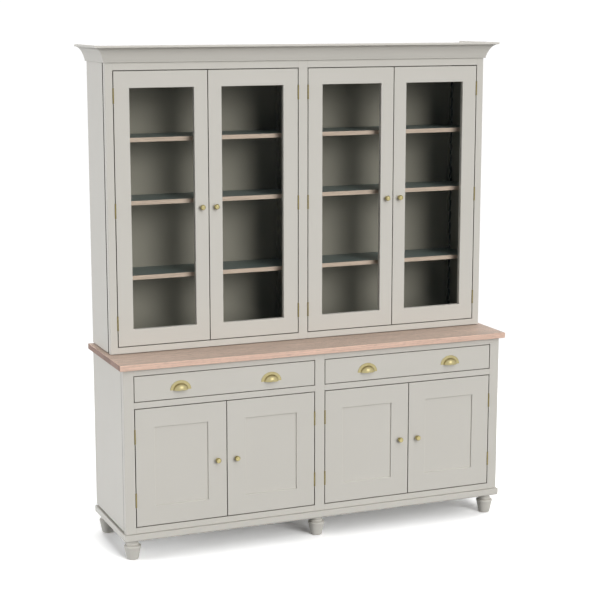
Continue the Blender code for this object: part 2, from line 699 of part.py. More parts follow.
def make_rack_front(finishes):
    """Make the rack's face frame and its glazed doors."""
    windows, axes = [], []
    opening_levels = (RACK_FLOOR, RACK_CEILING)
    levels = hinge_levels(*opening_levels, RACK_HINGE_SET, RACK_HINGE_COUNT)
    members = (RACK_HINGE_STILE, RACK_MEETING_STILE, RACK_DOOR_RAIL)
    fill = ("glass", "glass", GLASS_THICKNESS, GLASS_RECESS)
    for label, side in BAYS:
        opening = bay_opening(side, RACK_HALF, RACK_STILE, RACK_CENTRE_STILE)
        windows.append((opening, opening_levels))
        for span in door_spans(opening):
            axes.append(hinge_axis_x(span))
            place = "outer" if span[2] == side else "inner"
            make_door(f"rack_door_{label}_{place}", span, opening_levels, RACK_FRONT, members,
                      fill, levels, finishes)
    make_face_frame("rack_face_frame", RACK_HALF,
                    (RACK_FRONT, RACK_FRONT + RACK_FRAME_THICKNESS),
                    (WORKTOP_TOP + CONTACT, CARCASS_TOP), windows, (axes, levels),
                    finishes["paint"])


def cornice_profile():
    """Return the cornice's section as pairs of outward reach and height above its bottom."""
    cove_low = CORNICE_BEAD_HEIGHT + CORNICE_CHAMFER / 2
    cove_high = CORNICE_HEIGHT - CORNICE_FILLET
    cove_inner = CORNICE_BEAD_PROUD + CORNICE_CHAMFER / 2
    cove_outer = CORNICE_PROUD - CORNICE_CHAMFER
    section = [(0, 0), (CORNICE_BEAD_PROUD - CORNICE_CHAMFER, 0),
               (CORNICE_BEAD_PROUD, CORNICE_CHAMFER), (CORNICE_BEAD_PROUD, CORNICE_BEAD_HEIGHT)]
    for step in range(CORNICE_COVE_STEPS + 1):
        angle = math.pi / 2 * step / CORNICE_COVE_STEPS
        section.append((cove_outer - (cove_outer - cove_inner) * math.cos(angle),
                        cove_low + (cove_high - cove_low) * math.sin(angle)))
    section += [(CORNICE_PROUD, cove_high), (CORNICE_PROUD, CORNICE_HEIGHT),
                (CORNICE_PROUD - CORNICE_THICKNESS, CORNICE_HEIGHT), (0, CORNICE_LAP)]
    return section


def make_cornice(finishes):
    """Run the cornice's section round the left, front and right of the rack."""
    half, front = RACK_HALF + CONTACT, RACK_FRONT - CONTACT
    section = cornice_profile()
    stations = []
    for side in (-1, 1):
        run = [[(side * (half + reach), RACK_BACK, CORNICE_BOTTOM + rise)
                for reach, rise in section],
               [(side * (half + reach), front - reach, CORNICE_BOTTOM + rise)
                for reach, rise in section]]
        stations += run if side < 0 else reversed(run)
    shape = bmesh.new()
    add_loft(shape, stations)
    make_piece("cornice", shape, finishes["paint"])


def main():
    """Build the whole dresser."""
    clear_scene()
    finishes = make_finishes()
    make_feet(finishes)
    make_plinth(finishes)
    make_base_carcass(finishes)
    make_base_front(finishes)
    make_worktop(finishes)
    make_rack_carcass(finishes)
    make_rack_front(finishes)
    make_shelves(finishes)
    make_cornice(finishes)


main()
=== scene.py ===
"""Looks of the kitchen dresser: its fine shapes and finishes, the studio and the camera.

Metres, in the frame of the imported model: +Z up, front towards -Y, left towards -X. Each new mesh
holds its points in that frame, so its object sits at the origin.
"""

import json
import math

import bmesh
import bpy
from mathutils import Matrix, Vector


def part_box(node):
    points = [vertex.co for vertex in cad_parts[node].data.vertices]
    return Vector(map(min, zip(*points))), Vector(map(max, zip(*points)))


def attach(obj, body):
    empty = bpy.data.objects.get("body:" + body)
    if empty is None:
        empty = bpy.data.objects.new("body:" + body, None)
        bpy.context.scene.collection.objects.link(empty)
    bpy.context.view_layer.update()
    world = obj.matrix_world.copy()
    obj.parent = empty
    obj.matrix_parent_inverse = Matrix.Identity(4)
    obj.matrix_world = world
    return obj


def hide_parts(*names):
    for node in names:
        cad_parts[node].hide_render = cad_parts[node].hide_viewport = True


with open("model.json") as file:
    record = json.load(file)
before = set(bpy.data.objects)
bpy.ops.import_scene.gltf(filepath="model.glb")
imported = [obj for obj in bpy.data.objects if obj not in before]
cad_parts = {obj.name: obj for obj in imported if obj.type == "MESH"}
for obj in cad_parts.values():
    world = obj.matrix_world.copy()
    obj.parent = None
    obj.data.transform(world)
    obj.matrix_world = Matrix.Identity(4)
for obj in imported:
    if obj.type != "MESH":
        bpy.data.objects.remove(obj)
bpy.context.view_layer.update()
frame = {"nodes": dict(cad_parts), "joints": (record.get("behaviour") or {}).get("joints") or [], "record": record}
JOINTS = {joint["name"]: joint for joint in frame["joints"]}
BODY_OF = {node: body for body, nodes in frame["record"]["behaviour"]["bodies"].items()
           for node in nodes}

# Camera, as the photograph was taken
PICTURE_WIDTH = 600           # in pixels, like the focal length
FOCAL_LENGTH = 1595.04
SENSOR_WIDTH = 36.0
CAMERA_PLACE = (-2.7674, -6.6472, 2.3748)
CAMERA_YAW = math.radians(22.60)
CAMERA_PITCH = math.radians(-10.35)

# Studio lamps: name, azimuth, elevation and spread in degrees, level, colour, and whether gloss
# mirrors the lamp
WHITE = (1, 1, 1)
COOL = (0.98, 1.0, 1.04)
LAMPS = (
    ("key", 19, 13, 38, 0.58, WHITE, False),
    ("spark", 15, 25, 24, 0.13, WHITE, True),
    ("high", 10, 50, 40, 0.26, WHITE, False),
    ("fill", -80, 10, 14, 0.09, WHITE, False),
    ("left", -97, 7, 28, 0.515, COOL, False),
    ("high_left", -120, 40, 40, 0.21, WHITE, False),
    ("right", 110, 30, 26, 0.23, WHITE, False),
    ("top", 0, 90, 30, 0.22, WHITE, False),
    ("back", 170, 14, 30, 0.41, WHITE, False),
)
LAMP_DISTANCE = 8.0

# Studio floor and surroundings
WORLD_LIGHT = 0.005
WHITE_LEVEL = 1.05            # shows as plain white
FLOOR_REACH = 14.0
FLOOR_BOUNCE = 0.29           # the floor's grey as the dresser sees it
FLOOR_SHOWN = 1.45            # and as the camera sees it
FLOOR_LIFT = 0.03             # lightens the shadows on it
FLOOR_FADE = (2.2, 4.5)       # it turns plain white between these distances

BAYS = {"left": -1, "right": 1}
PLACES = ("outer", "inner")
FILLS = {"rack": "glass", "base": "panel"}

# Gaps and fits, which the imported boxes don't tell
DOOR_GAP = 0.0025
GAP_EASE = 0.0007             # each edge along a gap is eased back this far
DOOR_THICKNESS = 0.022
FILL_HOLD = 0.0077            # a pane or panel sits this deep in its frame
PANEL_ADVANCE = 0.0025        # the base doors' panels are this much thicker towards the front
SIGHT_EDGE = 0.0015           # chamfer round a door's opening
SIDE_QUIRKS = {"rack": 0.0035, "base": 0.0060}     # shadow gaps under the carcass sides
FRAME_QUIRKS = {"rack": 0.0030, "base": 0.0012}    # and under the face frames
SIDE_SETBACKS = {"rack": 0.0080, "base": 0.0025}   # shadow gaps between face frames and sides
SETBACK_REACH = 0.0035        # what stands this close behind a piece's front is set back with it
TONGUE_SHY = 0.004            # a tongue closes such a gap this far in
WELD = 0.00001                # points closer than this are one

# Angles between faces
FLAT_ANGLE = math.radians(1)        # smaller ones are flattened
LEVEL_ANGLE = math.radians(5)       # a face this close to a side's direction is shaded flat
ROUNDED_ANGLE = math.radians(30)    # edges with larger ones are rounded
SHADED_ANGLE = math.radians(50)     # and across still larger ones nothing is shaded as one

# A face looks some way when its normal's share of that way is larger than this
FACING = 0.5
WORKTOP_END_FACING = 0.7
WORKTOP_TOP_FACING = 0.9
PLINTH_END_FACING = 0.3
SHELF_FRONT_FACING = 0.4

# Rounding of edges
DOVETAIL_EDGE = 0.0003
MEMBER_EDGE = 0.0005
PLINTH_EDGE = 0.0008
BOARD_EDGE = 0.001
WORKTOP_EDGE = 0.0018
SHORTEST_BOARD_EDGE = 0.05    # shorter edges of a board stay sharp
ROUND_STEPS = 2
ROUND_PROFILE = 0.5
ARC_STEPS = 4                 # steps in the small rounds of cup pulls and cornice

# Beads behind the panes
BEAD_SHY = 0.0006             # a bead lies this far below the back of its frame
BEAD_ROUND = 0.0015
BEAD_STEPS = 6

# Drawer boxes
DRAWER_WALL = 0.012
DRAWER_BOTTOM_LIFT = 0.010
DRAWER_BOTTOM_THICKNESS = 0.006
TAIL_COUNT = 3
PIN_WIDTH = 0.009             # the width of a pin at its root
TAIL_FLARE = 0.0022
FRONT_SCREW_SHARES = (0.12, 0.5, 0.88)    # places of the screws across the front
FRONT_SCREW_LEVELS = (0.35, 0.75)         # and up it
FRONT_SCREW_RADIUS = 0.004
FRONT_SCREW_RISE = 0.0014

# Screw heads
SCREW_DOME_STEPS = 5
SCREW_SLOT_SHARE = 0.12       # half the slot's width as a share of the head's radius
SCREW_SEGMENTS = 20

# Turned feet: radius and height of each turn, as shares of the solid foot's radius and height
FOOT_PROFILE_SHARES = (
    (0.60, 0.0), (0.60, 0.0), (0.685, 0.018), (0.715, 0.045), (0.825, 0.25), (0.94, 0.48),
    (1.015, 0.60), (1.05, 0.655), (1.02, 0.70), (0.89, 0.725), (0.735, 0.735), (0.735, 0.735),
    (0.775, 0.765), (0.785, 0.80), (0.73, 0.845), (0.645, 0.875), (0.61, 0.92), (0.60, 1.0))
FOOT_SEGMENTS = 64
PROFILE_STEPS = 4

# Knobs: radius and reach of each turn, as shares of the solid knob's radius and reach
KNOB_PROFILE_SHARES = (
    (0.70, 0.0), (0.70, 0.0), (0.71, 0.03), (0.68, 0.07), (0.55, 0.09), (0.46, 0.13),
    (0.43, 0.19), (0.48, 0.26), (0.66, 0.32), (0.86, 0.40), (0.97, 0.50), (1.0, 0.61),
    (0.965, 0.73), (0.86, 0.84), (0.68, 0.93), (0.42, 0.985), (0.16, 1.0))
KNOB_CROWN = 0.55             # faces that look forwards more than this get the lighter knob brass, the others darker brass as painted shade
KNOB_SEGMENTS = 48

# Cup pulls
CUP_FLANGE_THICKNESS = 0.002
CUP_BOWL_SHARE = 0.70         # the bowl's height as a share of the flange's
CUP_WALL = 0.0018
CUP_FILLET = 0.0012
CUP_SWEEP_STEPS = 48
CUP_BOWL_STEPS = 18

# Butt hinges
HINGE_RADIUS = 0.0035
HINGE_HEIGHT = 0.065
HINGE_LEAF = 0.016
HINGE_LEAF_PROUD = 0.0002
HINGE_LEAF_SUNK = 0.001
HINGE_SCREW_PITCH = 0.022
HINGE_SCREW_RADIUS = 0.0028
HINGE_SCREW_RISE = 0.0003
HINGE_KNUCKLES = 5
HINGE_GROOVE = 0.0007
HINGE_SEGMENTS = 32
HINGE_SETS = {"rack": (0.104, 3), "base": (0.120, 2)}   # distance from a door's end, and count

# Cornice
CORNICE_PROUD = 0.0535
CORNICE_THICKNESS = 0.0235
CORNICE_LAP = 0.028
CORNICE_BEAD_HEIGHT = 0.009
CORNICE_BEAD_PROUD = 0.008
CORNICE_BEAD_ROUND = 0.002
CORNICE_FILLET = 0.009
CORNICE_COVE_START = math.radians(30)   # where on its ellipse the cove starts
CORNICE_COVE_STEPS = 24
CORNICE_EDGE = 0.001

# Patterns: noise cells in a metre along and across the grain, octaves and roughness of the noise
STROKES = (9, 420, 5, 0.6)
CLOUDS = (2.2, 2.2, 3, 0.5)
STREAKS = (5, 150, 5, 0.62)
PORES = (28, 900, 2, 0.5)
HAZE = (60, 60, 4, 0.5)
WEAR = (150, 150, 3, 0.5)
RIPPLES = (3, 3, 2, 0.5)

# Spans of a pattern's values that are spread out over a whole range
NOISE_SPAN = (0.3, 0.7)
CLOUD_SPAN = (0.35, 0.65)
STREAK_SPAN = (0.33, 0.67)
PORE_SPAN = (0.56, 0.66)
PORE_DEPTH_SPAN = (0.55, 0.70)
HAZE_SPAN = (0.35, 0.7)

# Growth rings of the oak
RING_SHIFT = (0.31, 0.37, -0.36)    # sets the rings' heart away from the boards
RING_STRETCH = (0.05, 1.0)          # along and across the grain
RING_SHAPE = {"Distortion": 5.0, "Detail": 3.0, "Detail Scale": 2.0, "Detail Roughness": 0.6}
RING_SHARE = 0.35
STREAK_SHARE = 0.65
STAVE_WIDTH = 0.11                  # glued staves of the worktop

# How roughness varies over a surface, and the strength and distance of each bump
PAINT_UNEVENNESS = (-0.02, 0.02)
OAK_UNEVENNESS = (-0.06, 0.08)
BRASS_UNEVENNESS = (0.0, 0.05)
GLASS_ROUGHNESS = (0.02, 0.04)
PAINT_BUMP = (0.03, 0.0003)
OAK_BUMP = (0.25, 0.0003)

# Sockets of a node that mixes colours
MIX_FACTOR, MIX_FIRST, MIX_SECOND, MIX_RESULT = 0, 6, 7, 2


def grey(level):
    """Return a neutral colour."""
    return (level, level, level, 1)


def along(axis, lengthwise, crosswise):
    """Return a scale that differs along one axis."""
    return tuple(lengthwise if index == axis else crosswise for index in range(3))


class Nodes:
    """A node tree, with short ways to add nodes."""

    def __init__(self, tree):
        self.tree = tree

    def add(self, kind, inputs=(), **settings):
        """Add a node, set its properties and fill its inputs by name or number."""
        made = self.tree.nodes.new(kind)
        for key, value in settings.items():
            setattr(made, key, value)
        for key, value in dict(inputs).items():
            if isinstance(value, bpy.types.NodeSocket):
                self.tree.links.new(value, made.inputs[key])
            else:
                made.inputs[key].default_value = value
        return made

    def place(self):
        """Return the place of a point on the object."""
        return self.add("ShaderNodeTexCoord").outputs["Object"]

    def noise(self, pattern, axis=0):
        """Return the value of a pattern of noise that runs along an axis."""
        lengthwise, crosswise, octaves, roughness = pattern
        mapped = self.add("ShaderNodeMapping", {"Vector": self.place(),
                                                "Scale": along(axis, lengthwise, crosswise)})
        noise = self.add("ShaderNodeTexNoise", {"Vector": mapped.outputs["Vector"], "Scale": 1.0,
                                                "Detail": octaves, "Roughness": roughness})
        return noise.outputs["Fac"]

    def spread(self, value, span, target=(0.0, 1.0)):
        """Return a value mapped from a span to another one."""
        return self.add("ShaderNodeMapRange", {"Value": value, "From Min": span[0],
                                               "From Max": span[1], "To Min": target[0],
                                               "To Max": target[1]}).outputs[0]

    def work_out(self, operation, first, second):
        """Return a number worked out from two."""
        return self.add("ShaderNodeMath", {0: first, 1: second}, operation=operation).outputs[0]

    def blend(self, factor, first, second):
        """Return a colour between two, each of them a socket or three numbers."""
        inputs = {MIX_FACTOR: factor}
        for number, colour in ((MIX_FIRST, first), (MIX_SECOND, second)):
            inputs[number] = (*colour, 1) if isinstance(colour, tuple) else colour
        return self.add("ShaderNodeMix", inputs, data_type="RGBA").outputs[MIX_RESULT]

    def shade(self, kind, **inputs):
        """Return a simple shader."""
        return self.add(kind, inputs).outputs[0]

    def mix(self, factor, first, second):
        """Return a mix of two shaders."""
        return self.add("ShaderNodeMixShader", {0: factor, 1: first, 2: second}).outputs[0]

    def seen_or_mirrored(self):
        """Return 1 for rays that come from the camera, from gloss or through glass."""
        path = self.add("ShaderNodeLightPath")
        value = path.outputs["Is Camera Ray"]
        for ray in ("Is Glossy Ray", "Is Transmission Ray"):
            value = self.work_out("MAXIMUM", value, path.outputs[ray])
        return value


class Finish(Nodes):
    """A new material's node tree, with its shader."""

    def __init__(self, name):
        self.material = bpy.data.materials.new(name)
        self.material.use_nodes = True
        super().__init__(self.material.node_tree)
        self.shader = self.tree.nodes["Principled BSDF"]

    def bump(self, height, strength, distance):
        """Give the shader a bump."""
        bump = self.add("ShaderNodeBump", {"Height": height, "Strength": strength,
                                           "Distance": distance})
        self.join(bump.outputs["Normal"], "Normal")

    def join(self, output, name):
        """Feed one of the shader's inputs."""
        self.tree.links.new(output, self.shader.inputs[name])

    def fix(self, **values):
        """Set constants on the shader's own sockets."""
        for name, value in values.items():
            self.shader.inputs[name.replace("_", " ")].default_value = value

    def roughen(self, pattern, roughness, unevenness):
        """Vary the roughness with a pattern."""
        target = [roughness + change for change in unevenness]
        self.join(self.spread(pattern, NOISE_SPAN, target), "Roughness")


def make_paint(name, axis, light, dark, roughness=0.42, gloss=0.25):
    """Make a brushed satin paint whose strokes run along an axis."""
    finish = Finish(name)
    strokes = finish.noise(STROKES, axis)
    clouds = finish.spread(finish.noise(CLOUDS), CLOUD_SPAN)
    finish.join(finish.blend(clouds, dark, light), "Base Color")
    finish.roughen(strokes, roughness, PAINT_UNEVENNESS)
    finish.bump(strokes, *PAINT_BUMP)
    finish.fix(Specular_IOR_Level=gloss)
    return finish.material


def growth_rings(finish, axis, ring_scale):
    """Return the rings of a log whose grain runs along an axis."""
    mapped = finish.add("ShaderNodeMapping", {"Vector": finish.place(), "Location": RING_SHIFT,
                                              "Scale": along(axis, *RING_STRETCH)})
    rings = finish.add("ShaderNodeTexWave", {"Vector": mapped.outputs["Vector"],
                                             "Scale": ring_scale, **RING_SHAPE},
                       wave_type="RINGS", rings_direction="XYZ"[axis], wave_profile="SAW")
    return rings.outputs["Fac"]


def stave_tones(finish, colour, difference):
    """Return a colour that differs in tone from one glued stave to the next."""
    depth = finish.add("ShaderNodeSeparateXYZ", {"Vector": finish.place()}).outputs["Y"]
    stave = finish.work_out("SNAP", depth, STAVE_WIDTH)
    chance = finish.add("ShaderNodeTexWhiteNoise", {"W": stave}, noise_dimensions="1D")
    tone = finish.spread(chance.outputs["Value"], (0, 1), (1 - difference, 1 + difference))
    toned = finish.add("ShaderNodeVectorMath", {0: colour, "Scale": tone}, operation="SCALE")
    return toned.outputs[0]


def make_oak(name, axis, light, dark, pore, roughness=0.42, ring_scale=34, pore_share=0.75,
             stave_difference=0.0, gloss=0.2):
    """Make limed oak whose grain runs along an axis, with rings, streaks and open pores.

    A stave difference above 0 lets the glued staves differ in tone from front to back.
    """
    finish = Finish(name)
    streaks = finish.noise(STREAKS, axis)
    pores = finish.noise(PORES, axis)
    rings = finish.work_out("MULTIPLY", growth_rings(finish, axis, ring_scale), RING_SHARE)
    streak_part = finish.spread(streaks, STREAK_SPAN, (0.0, STREAK_SHARE))
    ground = finish.blend(finish.work_out("ADD", rings, streak_part), dark, light)
    colour = finish.blend(finish.spread(pores, PORE_SPAN, (0.0, pore_share)), ground, pore)
    if stave_difference:
        colour = stave_tones(finish, colour, stave_difference)
    finish.join(colour, "Base Color")
    finish.roughen(streaks, roughness, OAK_UNEVENNESS)
    finish.bump(finish.spread(pores, PORE_DEPTH_SPAN, (1.0, 0.0)), *OAK_BUMP)
    finish.fix(Specular_IOR_Level=gloss)
    return finish.material


def make_brass(name, light, dark, roughness):
    """Make satin brass with slightly uneven polish and a little tarnish."""
    finish = Finish(name)
    haze = finish.spread(finish.noise(HAZE), HAZE_SPAN)
    finish.join(finish.blend(haze, light, dark), "Base Color")
    finish.roughen(finish.noise(WEAR), roughness, BRASS_UNEVENNESS)
    finish.fix(Metallic=1.0)
    return finish.material


def make_glass():
    """Make thin clear glass: mostly let through, with a faint sheen."""
    finish = Finish("glass")
    finish.join(finish.spread(finish.noise(RIPPLES), NOISE_SPAN, GLASS_ROUGHNESS), "Roughness")
    finish.fix(Base_Color=(0.02, 0.03, 0.03, 1), Alpha=0.03, Specular_IOR_Level=0.5)
    return finish.material


X_AXIS, Z_AXIS = 0, 2
PAINT = {letter: make_paint("paint_along_" + letter, axis, light=(0.590, 0.570, 0.523),
                            dark=(0.580, 0.560, 0.513))
         for axis, letter in enumerate("xyz")}
# Darker paint for the insides, also put on the edges along the door and drawer gaps as painted shade
INSIDE_AND_GAP_SHADE = make_paint("inside_paint_and_gap_shade", Z_AXIS, light=(0.29, 0.277, 0.228),
                    dark=(0.28, 0.267, 0.218), roughness=0.6, gloss=0.04)
# Dark teal on the shelves and on the top of the rack's floor: painted shade for the inside of the rack
SHELF_TOP_SHADE = make_paint("shelf_painted_shade", X_AXIS, light=(0.14, 0.175, 0.165),
                       dark=(0.12, 0.15, 0.14), roughness=0.4)
# Near black for the tongues and the sides' front edges in the shadow gaps: painted shadow
GAP_SHADOW = make_paint("painted_gap_shadow", Z_AXIS, light=(0.05, 0.05, 0.045), dark=(0.04, 0.04, 0.036),
                   roughness=0.8, gloss=0.0)
OAK = make_oak("oak_along_x", X_AXIS, light=(0.84, 0.595, 0.475), dark=(0.60, 0.42, 0.335),
               pore=(0.42, 0.31, 0.26))
# The top's oak is darker than the edges' oak: painted shade for the less lit top
OAK_TOP_SHADED = make_oak("oak_top_painted_shade", X_AXIS, light=(0.685, 0.522, 0.428), dark=(0.46, 0.35, 0.28),
                   pore=(0.21, 0.17, 0.15), pore_share=0.9, stave_difference=0.05, gloss=0.1)
OAK_END = make_oak("oak_end_grain", X_AXIS, light=(0.335, 0.232, 0.19),
                   dark=(0.237, 0.163, 0.135), pore=(0.20, 0.14, 0.12), roughness=0.6,
                   ring_scale=60, stave_difference=0.16)
SHELF_OAK = make_oak("shelf_oak", X_AXIS, light=(0.66, 0.54, 0.43), dark=(0.50, 0.40, 0.31),
                     pore=(0.36, 0.29, 0.24))
DRAWER_WOOD = {letter: make_oak("drawer_wood_along_" + letter, axis, light=(0.62, 0.48, 0.33),
                                dark=(0.50, 0.37, 0.24), pore=(0.38, 0.27, 0.17),
                                roughness=0.55)
               for axis, letter in enumerate("xy")}
DRAWER_END = make_oak("drawer_end_grain", X_AXIS, light=(0.44, 0.32, 0.21),
                      dark=(0.36, 0.26, 0.165), pore=(0.26, 0.18, 0.11), roughness=0.6,
                      ring_scale=60)
BRASS = make_brass("brass", (0.47, 0.41, 0.22), (0.42, 0.36, 0.18), 0.28)
KNOB_BRASS = make_brass("knob_brass", (0.49, 0.425, 0.215), (0.44, 0.38, 0.18), 0.30)
# Darker brass for the knobs' flanks, beside the lighter knob brass of the crowns: painted shade
KNOB_FLANK_SHADE = make_brass("knob_flank_painted_shade", (0.40, 0.34, 0.15), (0.35, 0.295, 0.12), 0.32)
# Much darker brass for the hinges, which sit in the door gaps: painted shade
HINGE_GAP_SHADE_BRASS = make_brass("hinge_brass_painted_shade", (0.27, 0.23, 0.10), (0.22, 0.185, 0.08), 0.4)
GLASS = make_glass()

# Finishes of a face frame by number; a door has all of them but the tongue's. The shaded edge's finish is the dark
# inside paint, put on the edges along the gaps as painted shade
UPRIGHT, RAIL, SHADED_EDGE, TONGUE = range(4)
FRAME_FINISHES = (PAINT["z"], PAINT["x"], INSIDE_AND_GAP_SHADE, GAP_SHADOW)

# Finishes of a drawer box by number
ALONG_DRAWER, ACROSS_DRAWER, END_GRAIN = range(3)
DRAWER_FINISHES = (DRAWER_WOOD["y"], DRAWER_WOOD["x"], DRAWER_END)


def add_shape(shape, addition):
    """Move a bmesh's geometry into another one."""
    mesh = bpy.data.meshes.new("passing")
    addition.to_mesh(mesh)
    addition.free()
    shape.from_mesh(mesh)
    bpy.data.meshes.remove(mesh)


def round_edges(shape, radius, shortest=0.0):
    """Round the edges of a solid that are sharp and longer than a limit."""
    shape.normal_update()
    edges = [edge for edge in shape.edges
             if len(edge.link_faces) == 2 and edge.calc_length() > shortest
             and edge.calc_face_angle(0) > ROUNDED_ANGLE and edge.is_convex]
    sides = {face.normal.copy().freeze() for face in shape.faces}
    bmesh.ops.bevel(shape, geom=edges, offset=radius, segments=ROUND_STEPS,
                    profile=ROUND_PROFILE, affect="EDGES", clamp_overlap=True)
    shape.normal_update()
    for face in shape.faces:
        face.smooth = all(face.normal.angle(side, 0) > LEVEL_ANGLE for side in sides)


def add_bar(shape, low, high, radius=MEMBER_EDGE, finish=0):
    """Add a bar with rounded edges between two corners."""
    low, high = Vector(low), Vector(high)
    bar = bmesh.new()
    place = Matrix.Translation((low + high) / 2) @ Matrix.Diagonal((*(high - low), 1.0))
    bmesh.ops.create_cube(bar, size=1.0, matrix=place)
    round_edges(bar, radius)
    for face in bar.faces:
        face.material_index = finish
    add_shape(shape, bar)


def add_loft(shape, rings, smooth=False):
    """Join closed rings of points one after another and cap both ends."""
    made = bmesh.new()
    loops = [[made.verts.new(point) for point in ring] for ring in rings]
    for lower, upper in zip(loops, loops[1:]):
        for index, corner in enumerate(lower):
            following = (index + 1) % len(lower)
            face = made.faces.new((corner, lower[following], upper[following], upper[index]))
            face.smooth = smooth
    made.faces.new(loops[0])
    made.faces.new(loops[-1])
    bmesh.ops.recalc_face_normals(made, faces=made.faces)
    add_shape(shape, made)


def add_turning(shape, profile, segments, place):
    """Add a turned solid on pairs of radius and reach along its axis.

    The place function tells where a point lies, from its two offsets and its reach.
    """
    add_loft(shape, [[place(first, second, reach) for first, second in circle(radius, segments)]
                     for radius, reach in profile], smooth=True)


def circle(radius, segments):
    """Return points round a circle as pairs."""
    turn = 2 * math.pi / segments
    return [(radius * math.cos(turn * step), radius * math.sin(turn * step))
            for step in range(segments)]


def quarter(steps, start=0.0):
    """Return the angles from a start to a quarter turn."""
    return [start + (math.pi / 2 - start) * step / steps for step in range(steps + 1)]


def smooth_line(points, steps):
    """Return a smooth line through points; a point given twice is a corner."""
    line = []
    last = len(points) - 1
    for index in range(last):
        before, start, end, after = (Vector(points[max(0, min(last, index + shift))])
                                     for shift in (-1, 0, 1, 2))
        if (end - start).length < WELD:
            continue
        leave = (end - before) / 2 if (start - before).length > WELD else end - start
        arrive = (after - start) / 2 if (after - end).length > WELD else end - start
        for step in range(steps):
            t = step / steps
            line.append((2 * t**3 - 3 * t**2 + 1) * start + (t**3 - 2 * t**2 + t) * leave
                        + (-2 * t**3 + 3 * t**2) * end + (t**3 - t**2) * arrive)
    line.append(Vector(points[last]))
    return line


def new_object(name, data):
    """Return a new object that stands in the scene."""
    made = bpy.data.objects.new(name, data)
    bpy.context.scene.collection.objects.link(made)
    return made


def finish_piece(name, shape, body, materials, replaced=()):
    """Turn a bmesh into a shown piece that rides on a body."""
    mesh = bpy.data.meshes.new(name)
    shape.to_mesh(mesh)
    shape.free()
    piece = new_object(name, mesh)
    for material in materials:
        mesh.materials.append(material)
    # Marking the sharp edges makes every face smooth, so the flat ones are put back
    flags = [polygon.use_smooth for polygon in mesh.polygons]
    mesh.set_sharp_from_angle(angle=SHADED_ANGLE)
    mesh.polygons.foreach_set("use_smooth", flags)
    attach(piece, body)
    if replaced:
        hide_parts(*replaced)


def dress(node, materials, pick=None, radius=BOARD_EDGE, lift=0.0, setback=0.0):
    """Stand a copy of a CAD solid in its place, with rounded edges and a finish for each face.

    Its bottom can be lifted and its front set back a little.
    """
    shape = bmesh.new()
    shape.from_mesh(frame["nodes"][node].data)
    bmesh.ops.remove_doubles(shape, verts=shape.verts, dist=WELD)
    bottom = min(vertex.co.z for vertex in shape.verts)
    front = min(vertex.co.y for vertex in shape.verts)
    for vertex in shape.verts:
        if vertex.co.z < bottom + WELD:
            vertex.co.z += lift
        if vertex.co.y < front + SETBACK_REACH:
            vertex.co.y += setback
    bmesh.ops.dissolve_limit(shape, angle_limit=FLAT_ANGLE, verts=shape.verts,
                             edges=shape.edges)
    round_edges(shape, radius, SHORTEST_BOARD_EDGE)
    for face in shape.faces:
        face.material_index = pick(face) if pick else 0
    finish_piece(node + "_finished", shape, BODY_OF[node], materials, [node])


def side_finish(face, side):
    """Return the finish of a carcass side's face: outside, inside, or the front edge, which gets the painted
    shadow of the gap before it.
    """
    if face.normal.x * side > FACING:
        return 0
    return 2 if face.normal.y < -FACING else 1


def make_boards():
    """Dress the boards of both carcasses."""
    for label, side in BAYS.items():
        for cabinet in FILLS:
            dress(f"{cabinet}_side_{label}", [PAINT["z"], INSIDE_AND_GAP_SHADE, GAP_SHADOW],
                  lambda face: side_finish(face, side), lift=SIDE_QUIRKS[cabinet],
                  setback=SIDE_SETBACKS[cabinet])
    for node in ("rack_partition", "base_partition", "base_floor"):
        dress(node, [INSIDE_AND_GAP_SHADE])
    for node in ("rack_back", "base_back"):
        dress(node, [INSIDE_AND_GAP_SHADE, PAINT["z"]],
              lambda face: int(face.normal.y > FACING))
    # The rack's floor gets the shelves' painted shade on its top
    for node, finish in (("rack_top", PAINT["x"]), ("rack_floor", SHELF_TOP_SHADE)):
        dress(node, [INSIDE_AND_GAP_SHADE, finish], lambda face: int(face.normal.z > FACING))


def worktop_finish(face):
    """Return the finish of the worktop's face: edge or underside, end, or top."""
    if abs(face.normal.x) > WORKTOP_END_FACING:
        return 1
    return 2 if face.normal.z > WORKTOP_TOP_FACING else 0


def make_worktop():
    """Dress the worktop: long grain on its faces, end grain at its ends, and darker oak on its top as painted
    shade.
    """
    dress("worktop", [OAK, OAK_END, OAK_TOP_SHADED], worktop_finish, WORKTOP_EDGE)


def make_shelves():
    """Dress the shelves: an oak front edge, and dark teal painted shade on the other faces."""
    for label in BAYS:
        for level in ("lower", "middle", "upper"):
            dress(f"shelf_{label}_{level}", [SHELF_OAK, SHELF_TOP_SHADE],
                  lambda face: int(face.normal.y > -SHELF_FRONT_FACING))


def make_plinth():
    """Dress the plinth platform."""
    dress("base_plinth", [PAINT["x"], PAINT["y"]],
          lambda face: int(abs(face.normal.x) > PLINTH_END_FACING), PLINTH_EDGE)


def door_box(name, fill):
    """Return the corners of a door's frame without its knuckles, and those of its opening."""
    low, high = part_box(name + "_frame")
    fill_low, fill_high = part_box(f"{name}_{fill}")
    axis_x = JOINTS[name + "_hinge"]["pos_m"][0]
    if axis_x < (fill_low.x + fill_high.x) / 2:
        left, right = axis_x + DOOR_GAP / 2, high.x
    else:
        left, right = low.x, axis_x - DOOR_GAP / 2
    sight = ((fill_low.x + FILL_HOLD, fill_low.z + FILL_HOLD),
             (fill_high.x - FILL_HOLD, fill_high.z - FILL_HOLD))
    return (Vector((left + GAP_EASE, high.y - DOOR_THICKNESS, low.z + GAP_EASE)),
            Vector((right - GAP_EASE, high.y, high.z - GAP_EASE)), sight)


